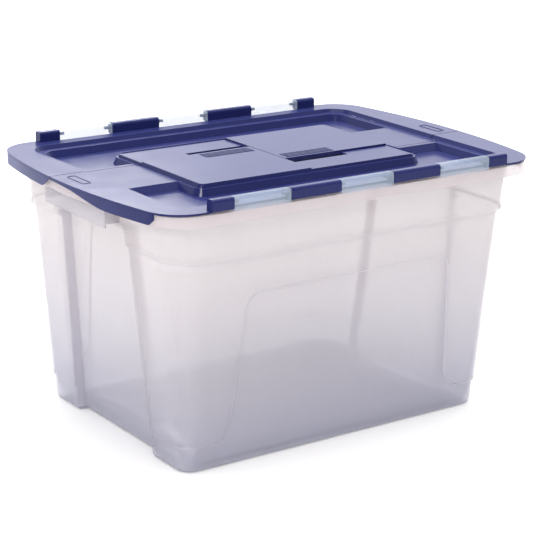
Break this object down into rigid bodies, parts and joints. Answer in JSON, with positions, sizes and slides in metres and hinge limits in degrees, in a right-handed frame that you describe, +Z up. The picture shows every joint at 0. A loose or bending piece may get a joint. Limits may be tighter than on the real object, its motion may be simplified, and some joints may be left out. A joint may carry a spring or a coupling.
{
  "type": "flip-top storage tote",
  "caption": "Deep clear tapered storage tote with two interlocking flip-top lid flaps hinged on pins along its long sides, recessed ends and pocket grips.",
  "frame": {"origin": "centre of the footprint on the floor", "axes": "+Z up, X along the long hinged sides, the front long side faces -Y"},
  "size_m": [0.54, 0.382, 0.316],
  "materials": {
    "clear_body": "semi-clear natural polypropylene",
    "navy_lid": "satin navy polypropylene"
  },
  "bodies": {
    "tote": {"tote_body": "clear_body", "tote_rim": "clear_body", "left_handle": "clear_body", "right_handle": "clear_body", "front_body_knuckles": "clear_body", "back_body_knuckles": "clear_body"},
    "front_flap": {"front_flap_panel": "navy_lid", "front_flap_knuckles": "navy_lid", "front_hinge_pins": "navy_lid", "front_flap_left_skirt": "navy_lid", "front_flap_right_skirt": "navy_lid"},
    "back_flap": {"back_flap_panel": "navy_lid", "back_flap_knuckles": "navy_lid", "back_hinge_pins": "navy_lid", "back_flap_left_skirt": "navy_lid", "back_flap_right_skirt": "navy_lid"}
  },
  "joints": [
    {"name": "front_flap_hinge", "type": "hinge", "parent": "tote", "child": "front_flap", "pos_m": [0, -0.1853, 0.3103], "axis": [1, 0, 0], "range_deg": [0, 265]},
    {"name": "back_flap_hinge", "type": "hinge", "parent": "tote", "child": "back_flap", "pos_m": [0, 0.1853, 0.3103], "axis": [-1, 0, 0], "range_deg": [0, 265]}
  ]
}
